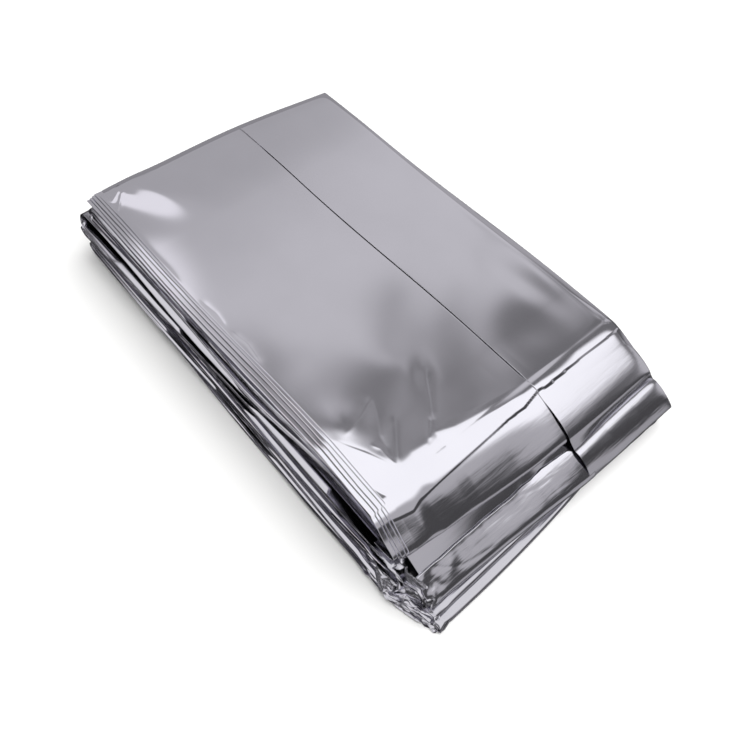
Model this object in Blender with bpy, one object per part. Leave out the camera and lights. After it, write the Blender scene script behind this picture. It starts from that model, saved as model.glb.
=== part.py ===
"""An emergency foil blanket, folded up as it lies on a table.

The long strip of film goes back and forth in ten layers. The model is one solid: the strip's section, which is the
same zigzag at every place across the width but for the lengths and heights in the tables below, joined from the near
side to the far side. X runs along the layers towards the front folds, Y across them, and Z up. The origin is the
middle of the base. The lengths in the tables are in millimetres.
"""

from collections import namedtuple

import bpy
import numpy as np

MM = 0.001
TOP_HEIGHT = 22.6
LEAST_GAP = 0.3
RUN_STEPS = 10
BEND_STEPS = 8
FOIL_COLOUR = (0.62, 0.61, 0.65, 1.0)
FOIL_ROUGHNESS = 0.12

# Places across the width that the tables give, from the near edge (0) to the far edge (1)
TABLE_PLACES = (0.0, 0.2, 0.61, 1.0)

# The slit between the wide and the narrow leaf on top
SLIT_PLACE = 0.612
SLIT_HALF_WIDTH = 0.005
SLIT_DEPTH = 0.55
SLIT_OPENS = (-58.0, -28.0)
WIDTH_PLACES = (0, 0.03, 0.1, 0.2, 0.31, 0.42, 0.52, SLIT_PLACE - SLIT_HALF_WIDTH, SLIT_PLACE,
                SLIT_PLACE + SLIT_HALF_WIDTH, 0.71, 0.81, 0.9, 0.965, 1)

# A row for each front fold, from the top: how far its nose reaches, and how far apart its two layers stand inside,
# at the near edge, a fifth across, at the slit and at the far edge. The nose is half an ellipse, this many times as
# deep as it is half high.
FrontFold = namedtuple("FrontFold", "reach hollow depth")
FRONT_FOLDS = (
    FrontFold(reach=(58.2, 59.6, 62.0, 62.0), hollow=(6.2, 6.1, 5.4, 4.3), depth=2.2),
    FrontFold(reach=(60.0, 61.3, 63.2, 57.5), hollow=(0.3, 0.3, 0.3, 0.3), depth=1.0),
    FrontFold(reach=(68.0, 68.5, 70.0, 70.2), hollow=(3.5, 3.8, 4.5, 5.6), depth=1.7),
    FrontFold(reach=(70.2, 69.8, 68.6, 65.0), hollow=(0.4, 0.3, 0.3, 0.3), depth=1.0),
    FrontFold(reach=(72.4, 72.2, 70.0, 65.5), hollow=(0.3, 0.3, 0.3, 0.3), depth=1.0),
)

# A row for each back fold, from the top: its reach at the same places, and its share of the height that is left
BackFold = namedtuple("BackFold", "reach share")
BACK_FOLDS = (
    BackFold(reach=(-66.4, -67.4, -68.2, -67.0), share=0.16),
    BackFold(reach=(-70.6, -69.4, -69.0, -70.2), share=0.31),
    BackFold(reach=(-71.6, -70.6, -70.0, -70.8), share=0.29),
    BackFold(reach=(-69.4, -69.8, -69.2, -68.6), share=0.24),
)

# A row for each layer, from the top: its thickness, and where its two side edges lie at the back and at the front
Layer = namedtuple("Layer", "thick near_back near_front far_back far_front")
LAYERS = (
    Layer(1.6, -38.9, -39.5, 40.2, 40.3),
    Layer(1.2, -39.6, -40.4, 40.8, 41.2),
    Layer(0.9, -40.1, -40.9, 40.3, 41.9),
    Layer(0.9, -40.9, -41.3, 41.0, 41.4),
    Layer(1.2, -42.0, -41.4, 41.6, 43.2),
    Layer(1.2, -41.4, -42.2, 41.2, 43.8),
    Layer(0.9, -41.0, -42.8, 40.6, 43.2),
    Layer(0.9, -41.5, -43.4, 41.3, 42.4),
    Layer(0.9, -40.6, -43.9, 40.9, 42.0),
    Layer(0.9, -40.2, -44.2, 40.4, 41.4),
)
SIDE_BACK_X = -68.0
SIDE_FRONT_X = 56.0

# The near edges of the lower layers come back in towards the front corner
CORNER_TURN_X = 60.0
CORNER_RETURN = 0.34
CORNER_FIRST_LAYER = 4

TOP_END = (-66.8, -66.9, -67.0, -64.0)
BOTTOM_END = (-66.0, -67.0, -66.4, -67.2)

# Where the upper and the lower hollow start to open, and where they are fully open
UPPER_OPENS = (-62.0, 48.0)
LOWER_OPENS = (-25.0, 44.0)

# The top: it sinks a little towards the back, dips at the pressed crease and slopes down to the near edge
CREASE_X = 50.0
CREASE_DEPTH = 0.35
CREASE_HALF_WIDTH = 2.5
END_SINK = 0.6
NEAR_SLOPE = 0.6
NEAR_SLOPE_WIDTH = 0.05
TOP_SIDE_SLANT = 1.3

# In front of the crease the folds slump: every height shrinks towards the front by these shares
SLUMP_START_X = 47.0
SLUMP_STEEP_END_X = 62.0
SLUMP_END_X = 72.0
SLUMP_STEEP = 0.19
SLUMP_REST = 0.06

# The side edges wander in and out a little, each layer in its own way
EDGE_WANDER = 0.35
EDGE_WAVE_LENGTH = 88.0
EDGE_WAVE_SHIFT = 1.9


def across(values, place):
    """A smooth curve through a table's four values, read at a place across the width."""
    places = np.array(TABLE_PLACES)
    values = np.array(values, float)
    slopes = np.gradient(values, places)
    index = int(np.clip(np.searchsorted(places, place) - 1, 0, len(places) - 2))
    span = places[index + 1] - places[index]
    t = (place - places[index]) / span
    rise = values[index + 1] - values[index]
    bow = (1 - t) * (slopes[index] * span - rise) - t * (slopes[index + 1] * span - rise)
    return values[index] + rise * t + t * (1 - t) * bow


def ramp(x, start, end):
    """0 before start, 1 after end, and a soft S between."""
    t = np.clip((x - start) / (end - start), 0, 1)
    return t * t * (3 - 2 * t)


def top_height(x, place):
    """Height of the pack's top at x: nearly flat, lower at the back, at the crease and at the near edge."""
    back = ramp(-x, 40, 70)
    crease = np.exp(-(((x - CREASE_X) / CREASE_HALF_WIDTH) ** 2))
    near = max(0.0, 1 - place / NEAR_SLOPE_WIDTH)
    return TOP_HEIGHT - END_SINK * back - CREASE_DEPTH * crease - NEAR_SLOPE * near


def slump(x):
    """The share of its height that a point keeps: all of it up to the crease, and less towards the front."""
    return 1 - SLUMP_STEEP * ramp(x, SLUMP_START_X, SLUMP_STEEP_END_X) - SLUMP_REST * ramp(
        x, SLUMP_STEEP_END_X, SLUMP_END_X
    )


def gaps(x, place):
    """The nine gaps between the ten layers at x. The front folds' hollows come first, and the back folds share the
    height that is left."""
    between = np.full((len(LAYERS) - 1,) + np.shape(x), LEAST_GAP)
    upper = np.clip((x - UPPER_OPENS[0]) / (UPPER_OPENS[1] - UPPER_OPENS[0]), 0, 1)
    openings = (upper, 0 * x, ramp(x, *LOWER_OPENS), ramp(x, *LOWER_OPENS), ramp(x, *LOWER_OPENS))
    for row, (fold, opening) in enumerate(zip(FRONT_FOLDS, openings)):
        between[2 * row] += (across(fold.hollow, place) - LEAST_GAP) * opening
    left = top_height(x, place) - sum(layer.thick for layer in LAYERS) - between.sum(axis=0)
    for row, fold in enumerate(BACK_FOLDS):
        between[2 * row + 1] += fold.share * np.maximum(left, 0)
    return between


def layer_heights(number, x, place):
    """Underside and top of a layer: the sum of the layers and gaps below it."""
    between = gaps(x, place)
    under = sum(layer.thick for layer in LAYERS[number + 1 :]) + between[number:].sum(axis=0)
    return under, under + LAYERS[number].thick


def side_edges(number, x):
    """Y of a layer's near and far edge at x."""
    layer = LAYERS[number]
    t = (x - SIDE_BACK_X) / (SIDE_FRONT_X - SIDE_BACK_X)
    near = layer.near_back + (layer.near_front - layer.near_back) * t
    if number >= CORNER_FIRST_LAYER:
        near = near + CORNER_RETURN * np.maximum(x - CORNER_TURN_X, 0)
    wave = EDGE_WANDER * np.sin(2 * np.pi * x / EDGE_WAVE_LENGTH + EDGE_WAVE_SHIFT * number)
    return near + wave, layer.far_back + (layer.far_front - layer.far_back) * t + wave


def nose(upper_layer, reach, depth, place, towards):
    """Where a fold's nose starts, its half height and its length, which is depth times the half height."""
    half = 1.0
    for _ in range(6):
        start = reach - towards * depth * half
        top = layer_heights(upper_layer, start, place)[1]
        under = layer_heights(upper_layer + 1, start, place)[0]
        half = (top - under) / 2
    return start, half, abs(reach - start)


def strip_section(place):
    """The strip's section at one place across the width, as two rows of points that run along it, one on each face.

    The first row starts on top of the top layer and the second under it. A column holds x, y and z.
    """
    count = len(LAYERS)
    noses = []
    for row, fold in enumerate(FRONT_FOLDS):
        noses.append(nose(2 * row, across(fold.reach, place), fold.depth, place, 1))
        if row < len(BACK_FOLDS):
            noses.append(nose(2 * row + 1, across(BACK_FOLDS[row].reach, place), 1.0, place, -1))
    first, second = [], []
    for number in range(count):
        forwards = number % 2 == 0
        begin = across(TOP_END, place) if number == 0 else noses[number - 1][0]
        finish = across(BOTTOM_END, place) if number == count - 1 else noses[number][0]
        x = np.linspace(begin, finish, RUN_STEPS)
        under, top = layer_heights(number, x, place)
        near, far = side_edges(number, x)
        y = near + (far - near) * place
        slant = TOP_SIDE_SLANT * (1 - place / NEAR_SLOPE_WIDTH) if number == 0 and place < NEAR_SLOPE_WIDTH else 0
        upper_face = np.stack([x, y + slant, top])
        lower_face = np.stack([x, y, under])
        first.append(upper_face if forwards else lower_face)
        second.append(lower_face if forwards else upper_face)
        if number == count - 1:
            break
        start, half, length = noses[number]
        towards = 1 if forwards else -1
        angle = np.linspace(0, np.pi, BEND_STEPS + 1)[1:-1]
        wall = (LAYERS[number].thick + LAYERS[number + 1].thick) / 2
        hollow = (layer_heights(number, start, place)[0] - layer_heights(number + 1, start, place)[1]) / 2
        middle_outer = layer_heights(number, start, place)[1] - half
        middle_inner = layer_heights(number, start, place)[0] - hollow
        next_near, next_far = side_edges(number + 1, x[-1])
        y_end = y[-1] + (next_near + (next_far - next_near) * place - y[-1]) * angle / np.pi
        outer = np.stack([start + towards * length * np.sin(angle), y_end, middle_outer + half * np.cos(angle)])
        inner = np.stack([start + towards * max(length - wall, LEAST_GAP / 2) * np.sin(angle), y_end,
                          middle_inner + hollow * np.cos(angle)])
        first.append(outer if forwards else inner)
        second.append(inner if forwards else outer)
    first, second = np.concatenate(first, axis=1), np.concatenate(second, axis=1)
    if place == SLIT_PLACE:
        groove = slice(0, RUN_STEPS + BEND_STEPS - 2)
        inwards = second[:, groove] - first[:, groove]
        inwards /= np.linalg.norm(inwards, axis=0)
        first[:, groove] += inwards * SLIT_DEPTH * ramp(first[0, groove], *SLIT_OPENS)
    first[2] *= slump(first[0])
    second[2] *= slump(second[0])
    return first, second


def blanket_mesh():
    """The closed mesh between the sections: both faces of the strip, its two side edges and its two ends."""
    sections = [strip_section(place) for place in WIDTH_PLACES]
    faces_of_strip = np.array(sections)
    stations, _, _, length = faces_of_strip.shape
    points = faces_of_strip.transpose(0, 1, 3, 2).reshape(-1, 3)
    lowest, highest = points.min(axis=0), points.max(axis=0)
    middle = (lowest + highest) / 2
    points = points - (middle[0], middle[1], lowest[2])
    index = np.arange(len(points)).reshape(stations, 2, length)
    first, second = index[:, 0], index[:, 1]
    quads = [
        np.stack([first[:-1, :-1], first[:-1, 1:], first[1:, 1:], first[1:, :-1]], axis=-1),
        np.stack([second[:-1, :-1], second[1:, :-1], second[1:, 1:], second[:-1, 1:]], axis=-1),
        np.stack([first[0, :-1], second[0, :-1], second[0, 1:], first[0, 1:]], axis=-1),
        np.stack([first[-1, :-1], first[-1, 1:], second[-1, 1:], second[-1, :-1]], axis=-1),
        np.stack([first[:-1, 0], first[1:, 0], second[1:, 0], second[:-1, 0]], axis=-1),
        np.stack([first[:-1, -1], second[:-1, -1], second[1:, -1], first[1:, -1]], axis=-1),
    ]
    faces = np.concatenate([part.reshape(-1, 4) for part in quads])
    mesh = bpy.data.meshes.new("blanket")
    mesh.from_pydata((points * MM).tolist(), [], faces.tolist())
    mesh.validate()
    mesh.shade_smooth()
    mesh.set_sharp_from_angle(angle=np.radians(40))
    return mesh


def foil_material():
    """Aluminised film: a bright, slightly lilac metal."""
    material = bpy.data.materials.new("foil")
    material.use_nodes = True
    shader = material.node_tree.nodes["Principled BSDF"]
    shader.inputs["Base Color"].default_value = FOIL_COLOUR
    shader.inputs["Metallic"].default_value = 1.0
    shader.inputs["Roughness"].default_value = FOIL_ROUGHNESS
    return material


def main():
    for old in list(bpy.data.objects):
        bpy.data.objects.remove(old, do_unlink=True)
    mesh = blanket_mesh()
    mesh.materials.append(foil_material())
    blanket = bpy.data.objects.new("blanket", mesh)
    bpy.context.scene.collection.objects.link(blanket)


main()
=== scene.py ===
"""The folded emergency foil blanket, dressed in thin films and lit for its picture.

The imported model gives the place. The films follow the folded strip of the part's source, whose tables stand here
again in millimetres: x runs along the layers towards the front folds, y across them and z up.
"""

from collections import namedtuple

import bpy
import numpy as np
from bpy.props import FloatProperty, FloatVectorProperty, IntProperty, PointerProperty
from mathutils import Matrix


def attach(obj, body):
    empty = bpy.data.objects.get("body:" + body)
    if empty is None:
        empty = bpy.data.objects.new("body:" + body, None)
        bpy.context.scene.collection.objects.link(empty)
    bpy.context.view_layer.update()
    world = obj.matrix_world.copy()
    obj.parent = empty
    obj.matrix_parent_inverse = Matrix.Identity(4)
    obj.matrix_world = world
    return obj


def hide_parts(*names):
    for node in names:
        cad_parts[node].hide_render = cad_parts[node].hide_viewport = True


bl_info = {
    "name": "Folded foil blanket",
    "version": (1, 0, 0),
    "blender": (4, 5, 0),
    "location": "3D View > Sidebar > Foil blanket",
    "description": "Lays thin creased films over the folded blanket and sets up its stage",
    "category": "Object",
}

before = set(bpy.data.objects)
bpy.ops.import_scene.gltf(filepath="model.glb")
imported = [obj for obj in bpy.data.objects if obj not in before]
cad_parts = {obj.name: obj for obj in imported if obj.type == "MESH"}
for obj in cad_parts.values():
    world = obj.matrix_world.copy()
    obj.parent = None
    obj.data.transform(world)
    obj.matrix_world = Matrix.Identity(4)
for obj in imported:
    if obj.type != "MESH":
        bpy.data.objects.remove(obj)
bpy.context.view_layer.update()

MM = 0.001
NODE = "blanket"
FILM_MATERIAL = "mirror_film"
# The inner films' material is a darker copy of the film's: painted shade between the layers.
SHADED_INNER_MATERIAL = "shaded_inner_film"
SMOOTH_MATERIAL = "smooth_film"
SURFACE_GROUP = "film_surface"

# The folded strip, as in the part's source

TOP_HEIGHT = 22.6
LEAST_GAP = 0.3
TABLE_PLACES = (0.0, 0.2, 0.61, 1.0)

FrontFold = namedtuple("FrontFold", "reach hollow depth")
FRONT_FOLDS = (
    FrontFold(reach=(58.2, 59.6, 62.0, 62.0), hollow=(6.2, 6.1, 5.4, 4.3), depth=2.2),
    FrontFold(reach=(60.0, 61.3, 63.2, 57.5), hollow=(0.3, 0.3, 0.3, 0.3), depth=1.0),
    FrontFold(reach=(68.0, 68.5, 70.0, 70.2), hollow=(3.5, 3.8, 4.5, 5.6), depth=1.7),
    FrontFold(reach=(70.2, 69.8, 68.6, 65.0), hollow=(0.4, 0.3, 0.3, 0.3), depth=1.0),
    FrontFold(reach=(72.4, 72.2, 70.0, 65.5), hollow=(0.3, 0.3, 0.3, 0.3), depth=1.0),
)
BackFold = namedtuple("BackFold", "reach share")
BACK_FOLDS = (
    BackFold(reach=(-66.4, -67.4, -68.2, -67.0), share=0.16),
    BackFold(reach=(-70.6, -69.4, -69.0, -70.2), share=0.31),
    BackFold(reach=(-71.6, -70.6, -70.0, -70.8), share=0.29),
    BackFold(reach=(-69.4, -69.8, -69.2, -68.6), share=0.24),
)
Layer = namedtuple("Layer", "thick near_back near_front far_back far_front")
LAYERS = (
    Layer(1.6, -38.9, -39.5, 40.2, 40.3),
    Layer(1.2, -39.6, -40.4, 40.8, 41.2),
    Layer(0.9, -40.1, -40.9, 40.3, 41.9),
    Layer(0.9, -40.9, -41.3, 41.0, 41.4),
    Layer(1.2, -42.0, -41.4, 41.6, 43.2),
    Layer(1.2, -41.4, -42.2, 41.2, 43.8),
    Layer(0.9, -41.0, -42.8, 40.6, 43.2),
    Layer(0.9, -41.5, -43.4, 41.3, 42.4),
    Layer(0.9, -40.6, -43.9, 40.9, 42.0),
    Layer(0.9, -40.2, -44.2, 40.4, 41.4),
)
SIDE_BACK_X = -68.0
SIDE_FRONT_X = 56.0
CORNER_TURN_X = 60.0
CORNER_RETURN = 0.34
CORNER_FIRST_LAYER = 4
TOP_END = (-66.8, -66.9, -67.0, -64.0)
BOTTOM_END = (-66.0, -67.0, -66.4, -67.2)
UPPER_OPENS = (-62.0, 48.0)
LOWER_OPENS = (-25.0, 44.0)
CREASE_X = 50.0
CREASE_DEPTH = 0.35
CREASE_HALF_WIDTH = 2.5
END_SINK = 0.6
NEAR_SLOPE = 0.6
NEAR_SLOPE_WIDTH = 0.05
TOP_SIDE_SLANT = 1.3
SLUMP_START_X = 47.0
SLUMP_STEEP_END_X = 62.0
SLUMP_END_X = 72.0
SLUMP_STEEP = 0.19
SLUMP_REST = 0.06
EDGE_WANDER = 0.35
EDGE_WAVE_LENGTH = 88.0
EDGE_WAVE_SHIFT = 1.9
SLIT_PLACE = 0.6115

# The slit cuts through the bundles of the top layer: places across the width, and the share of the depth at each
GROOVE_PLACES = (0.6070, 0.6080, 0.6115, 0.6150, 0.6160)
GROOVE_SHARES = (0.0, 1.0, 1.0, 1.0, 0.0)
GROOVE_DEPTH = 2.6
GROOVE_OPENS = (-58.0, -20.0)

# The films of the thin band under the upper bulge stand back from its solid, by this share beyond this place
BAND_TUCK = 0.75
BAND_TUCK_X = 57.0

# Under the upper bulge, the films of these runs stand in from the near side towards the front
SET_IN_RUNS = (1, 2, 3)
SET_IN = 2.4
SET_IN_X = (0.0, 35.0)

RUNS = len(LAYERS)
SEGMENTS = 2 * RUNS - 1

# The camera of the picture, in millimetres from the middle of the base

CAMERA_PLACE = (94.5, -98.5, 178.0)
CAMERA_RIGHT = (0.6596, 0.7484, 0.0706)
CAMERA_UP = (-0.6399, 0.5096, 0.5751)
CAMERA_BACK = (0.3944, -0.4244, 0.8150)
PICTURE_SIDE = 730
FOCAL_PIXELS = 821
SENSOR_WIDTH = 36.0

# Soft forms of the top: each is a long swell or dent with its middle, half length, half width, turn and height
Swell = namedtuple("Swell", "x y half_length half_width turn height")
TOP_SWELLS = (
    Swell(-59.5, -24.0, 12.0, 5.6, 24.0, 0.60),
    Swell(-62.5, -31.0, 5.0, 2.0, 20.0, 0.20),
    Swell(24.0, -12.0, 9.0, 6.0, 20.0, 0.08),
    Swell(28.5, -32.5, 6.0, 5.0, -25.0, 0.18),
    Swell(54.5, -38.0, 3.0, 5.0, 0.0, -0.40),
    Swell(25.0, 32.0, 13.0, 4.0, 5.0, -0.10),
    Swell(38.0, 22.0, 8.0, 7.0, 40.0, -0.08),
    Swell(31.0, -9.0, 6.0, 2.5, -35.0, -0.10),
)

# Sharp creases of the top's wide leaf: the points that each passes, its height (down where negative) and its width,
# and the share of its length over which it fades out at either end
Crease = namedtuple("Crease", "points height width fade", defaults=(0.2,))
WIDE_CREASES = (
    Crease(((28.0, -37.5), (33.0, -35.0), (38.5, -32.0), (44.7, -29.4)), 0.045, 0.8),
    Crease(((31.0, -35.6), (37.0, -32.3), (44.0, -29.6)), -0.03, 0.4),
    Crease(((36.0, -30.6), (38.5, -29.3), (44.7, -29.6)), 0.03, 0.4),
    Crease(((33.5, -21.0), (36.3, -22.8), (40.5, -26.4), (44.7, -29.4)), 0.035, 0.5),
    Crease(((27.0, -22.0), (31.0, -23.6), (36.0, -27.4), (42.0, -29.2)), -0.03, 0.9),
    Crease(((27.0, -21.6), (30.0, -28.0), (31.5, -34.5)), 0.03, 0.9),
    Crease(((28.6, -6.4), (33.0, -9.6), (37.5, -13.0), (41.0, -15.6)), -0.05, 0.9),
    Crease(((39.5, -15.0), (42.2, -17.6), (44.0, -20.0)), 0.03, 0.4),
    Crease(((44.7, -29.4), (44.0, -25.0), (44.5, -20.8), (43.6, -17.4), (45.2, -13.0), (47.4, -2.0), (47.2, 8.6)),
           -0.012, 0.5),
    Crease(((42.2, -17.4), (43.4, -14.8), (42.6, -13.4), (44.7, -4.1), (46.4, 8.0)), 0.008, 0.4),
    Crease(((-63.8, -27.5), (-62.2, -31.2), (-57.3, -35.6), (-42.0, -36.5), (-26.1, -36.4)), 0.12, 0.35),
    Crease(((-66.5, -29.5), (-63.6, -31.4), (-61.0, -35.0)), 0.10, 0.6),
    Crease(((-20.0, -35.9), (-14.0, -35.2), (-9.0, -35.8)), -0.04, 0.5),
    Crease(((-8.0, -35.6), (-2.0, -34.8), (5.0, -35.8)), -0.04, 0.6),
)

# The pressed crease in front, from the near to the far side, where the film steps down
FRONT_CREASE = ((51.2, -41.0), (52.1, -37.1), (53.1, -32.7), (52.3, -30.0), (51.7, -18.0), (51.0, -1.3), (51.2, 3.9),
                (50.1, 10.1), (50.6, 11.7), (50.3, 26.3), (50.5, 42.0))
# Behind it the wide leaf starts to slope down along this line, by this slope
FRONT_DIP_LINE = ((44.9, -41.0), (44.7, -29.4), (44.0, -25.0), (44.5, -20.8), (43.6, -17.4), (45.2, -13.0),
                  (47.4, -2.0), (48.5, 8.6))
FRONT_DIP = 0.09
FRONT_DIP_SOFTNESS = 0.35
FRONT_STEP = 0.14
FRONT_STEP_SOFTNESS = 0.09

# The near front corner of the top slopes down beyond the line through these two points
CORNER_LINE = ((31.4, -36.1), (44.7, -29.4))
CORNER_SLOPE = 0.14
CORNER_SOFTNESS = 0.45


def ramp(x, start, end):
    """0 before start, 1 after end, and a soft S between."""
    t = np.clip((x - start) / (end - start), 0, 1)
    return t * t * (3 - 2 * t)


def across(values, place):
    """A smooth curve through a table's four values, read at places across the width."""
    places = np.array(TABLE_PLACES)
    values = np.array(values, float)
    slopes = np.gradient(values, places)
    index = np.clip(np.searchsorted(places, place) - 1, 0, len(places) - 2)
    span = places[index + 1] - places[index]
    t = (place - places[index]) / span
    rise = values[index + 1] - values[index]
    bow = (1 - t) * (slopes[index] * span - rise) - t * (slopes[index + 1] * span - rise)
    return values[index] + rise * t + t * (1 - t) * bow


def top_height(x, place):
    """Height of the pack's top: nearly flat, lower at the back, at the pressed crease and at the near edge."""
    back = ramp(-x, 40, 70)
    crease = np.exp(-(((x - CREASE_X) / CREASE_HALF_WIDTH) ** 2))
    near = np.maximum(0.0, 1 - place / NEAR_SLOPE_WIDTH)
    return TOP_HEIGHT - END_SINK * back - CREASE_DEPTH * crease - NEAR_SLOPE * near


def slump(x):
    """The share of its height that a point keeps: all of it up to the crease, and less towards the front."""
    steep = SLUMP_STEEP * ramp(x, SLUMP_START_X, SLUMP_STEEP_END_X)
    return 1 - steep - SLUMP_REST * ramp(x, SLUMP_STEEP_END_X, SLUMP_END_X)


def gaps(x, place):
    """The nine gaps between the ten layers at x. The front folds' hollows come first, and the back folds share the
    height that is left."""
    between = np.full((RUNS - 1,) + np.shape(x), LEAST_GAP)
    upper = np.clip((x - UPPER_OPENS[0]) / (UPPER_OPENS[1] - UPPER_OPENS[0]), 0, 1)
    lower = ramp(x, *LOWER_OPENS)
    openings = (upper, 0 * x, lower, lower, lower)
    for row, (fold, opening) in enumerate(zip(FRONT_FOLDS, openings)):
        between[2 * row] += (across(fold.hollow, place) - LEAST_GAP) * opening
    left = top_height(x, place) - sum(layer.thick for layer in LAYERS) - between.sum(axis=0)
    for row, fold in enumerate(BACK_FOLDS):
        between[2 * row + 1] += fold.share * np.maximum(left, 0)
    return between


def layer_heights(number, x, place):
    """Underside and top of a layer: the sum of the layers and gaps below it."""
    between = gaps(x, place)
    under = sum(layer.thick for layer in LAYERS[number + 1:]) + between[number:].sum(axis=0)
    return under, under + LAYERS[number].thick


def side_edges(number, x):
    """Y of a layer's near and far edge at x."""
    layer = LAYERS[number]
    t = (x - SIDE_BACK_X) / (SIDE_FRONT_X - SIDE_BACK_X)
    near = layer.near_back + (layer.near_front - layer.near_back) * t
    if number >= CORNER_FIRST_LAYER:
        near = near + CORNER_RETURN * np.maximum(x - CORNER_TURN_X, 0)
    wave = EDGE_WANDER * np.sin(2 * np.pi * x / EDGE_WAVE_LENGTH + EDGE_WAVE_SHIFT * number)
    return near + wave, layer.far_back + (layer.far_front - layer.far_back) * t + wave


def nose(upper_layer, reach, depth, place, towards):
    """Where a fold's nose starts, its half height and its length, which is depth times the half height."""
    half = np.ones_like(place)
    for _ in range(6):
        start = reach - towards * depth * half
        top = layer_heights(upper_layer, start, place)[1]
        under = layer_heights(upper_layer + 1, start, place)[0]
        half = (top - under) / 2
    return start, half, np.abs(reach - start)


def folded_strip(places, steps):
    """Both faces of the folded strip at places across the width, with a number of steps for each of its 19 segments.

    Runs and noses follow each other as in the part's source. Each face has places x steps points, and the third
    result tells each step's segment and how far along it stands.
    """
    place = np.asarray(places, float)[:, None]
    noses = []
    for row, fold in enumerate(FRONT_FOLDS):
        noses.append(nose(2 * row, across(fold.reach, place), fold.depth, place, 1))
        if row < len(BACK_FOLDS):
            noses.append(nose(2 * row + 1, across(BACK_FOLDS[row].reach, place), 1.0, place, -1))
    first, second, along = [], [], []
    for number in range(RUNS):
        forwards = number % 2 == 0
        begin = across(TOP_END, place) if number == 0 else noses[number - 1][0]
        finish = across(BOTTOM_END, place) if number == RUNS - 1 else noses[number][0]
        t = np.linspace(0, 1, steps[2 * number])
        spaced = 0.55 * t + 0.45 * (1 - np.cos(np.pi * t)) / 2
        x = begin + (finish - begin) * spaced
        under, top = layer_heights(number, x, place)
        near, far = side_edges(number, x)
        y = near + (far - near) * place
        slant = TOP_SIDE_SLANT * np.maximum(0, 1 - place / NEAR_SLOPE_WIDTH) if number == 0 else 0
        upper_face = np.stack([x, y + slant, top], axis=-1)
        lower_face = np.stack([x, y, under], axis=-1)
        first.append(upper_face if forwards else lower_face)
        second.append(lower_face if forwards else upper_face)
        along.append(2 * number + 0.999 * t)
        if number == RUNS - 1:
            break
        start, half, length = noses[number]
        towards = 1 if forwards else -1
        t = np.linspace(0, 1, steps[2 * number + 1] + 2)[1:-1]
        angle = np.pi * t
        wall = (LAYERS[number].thick + LAYERS[number + 1].thick) / 2
        hollow = (layer_heights(number, start, place)[0] - layer_heights(number + 1, start, place)[1]) / 2
        middle_outer = layer_heights(number, start, place)[1] - half
        middle_inner = layer_heights(number, start, place)[0] - hollow
        next_near, next_far = side_edges(number + 1, x[:, -1:])
        y_end = y[:, -1:] + (next_near + (next_far - next_near) * place - y[:, -1:]) * t
        inner_length = np.maximum(length - wall, LEAST_GAP / 2)
        outer = np.stack([start + towards * length * np.sin(angle), y_end, middle_outer + half * np.cos(angle)], -1)
        inner = np.stack([start + towards * inner_length * np.sin(angle), y_end,
                          middle_inner + hollow * np.cos(angle)], -1)
        first.append(outer if forwards else inner)
        second.append(inner if forwards else outer)
        along.append(2 * number + 1 + 0.999 * t)
    first, second = np.concatenate(first, axis=1), np.concatenate(second, axis=1)
    first[..., 2] *= slump(first[..., 0])
    second[..., 2] *= slump(second[..., 0])
    return first, second, np.concatenate(along)


def strip_shift():
    """How far the part's source moves the strip to bring the middle of its base to the origin."""
    faces = np.stack(folded_strip(np.linspace(0, 1, 41), [10, 9] * (RUNS - 1) + [10])[:2])
    low, high = faces.min(axis=(0, 1, 2)), faces.max(axis=(0, 1, 2))
    return np.array([(low[0] + high[0]) / 2, (low[1] + high[1]) / 2, low[2]])


SHIFT = strip_shift()


def swells(x, y, rows):
    """The sum of long soft bells: height times exp of minus the squared distance along and across each."""
    total = np.zeros_like(x)
    for row in rows:
        turn = np.radians(row.turn)
        along = (x - row.x) * np.cos(turn) + (y - row.y) * np.sin(turn)
        side = (y - row.y) * np.cos(turn) - (x - row.x) * np.sin(turn)
        total += row.height * np.exp(-((along / row.half_length) ** 2) - (side / row.half_width) ** 2)
    return total


def crease_relief(x, y, crease):
    """A sharp crease along a broken line: height times exp of minus the distance over the width, faded at its ends."""
    points = np.array(crease.points)
    lengths = np.linalg.norm(np.diff(points, axis=0), axis=1)
    nearest = np.full(x.shape, np.inf)
    along = np.zeros_like(x)
    done = 0.0
    for start, end, length in zip(points[:-1], points[1:], lengths):
        way = (end - start) / length
        t = np.clip((x - start[0]) * way[0] + (y - start[1]) * way[1], 0, length)
        distance = np.hypot(x - start[0] - way[0] * t, y - start[1] - way[1] * t)
        closer = distance < nearest
        nearest = np.where(closer, distance, nearest)
        along = np.where(closer, (done + t) / lengths.sum(), along)
        done += length
    fade = ramp(along, 0, crease.fade) * ramp(1 - along, 0, crease.fade)
    soft = np.sqrt(nearest ** 2 + (0.15 * crease.width) ** 2)
    return crease.height * fade * np.exp(-soft / crease.width)


EDGE_BEND = 0.55
EDGE_BEND_WIDTH = 1.1


def edge_bend(distance):
    """How far a film bends down at its edge: most at no distance, then exp of minus the distance over a width."""
    return -EDGE_BEND * np.exp(-np.maximum(distance, 0) / EDGE_BEND_WIDTH)


def near_rise(place):
    """How far a film stays above the strip where that slopes down to its near edge."""
    return NEAR_SLOPE * np.maximum(0.0, 1 - place / NEAR_SLOPE_WIDTH)


def front_step(x, y):
    """The film's step down at the front crease: it stays level behind the crease and falls at once at the line."""
    line = np.array(FRONT_CREASE)
    beyond = x - np.interp(y, line[:, 1], line[:, 0])
    level = CREASE_DEPTH * np.exp(-(((x - CREASE_X) / CREASE_HALF_WIDTH) ** 2)) * (beyond < 0)
    level = level * ramp(y, -8, 6) * (1 - 0.8 * ramp(y, 12, 25))
    return (FRONT_STEP * ramp(beyond, -16, -3) + level) * (0.5 - 0.5 * np.tanh(beyond / FRONT_STEP_SOFTNESS))


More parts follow.
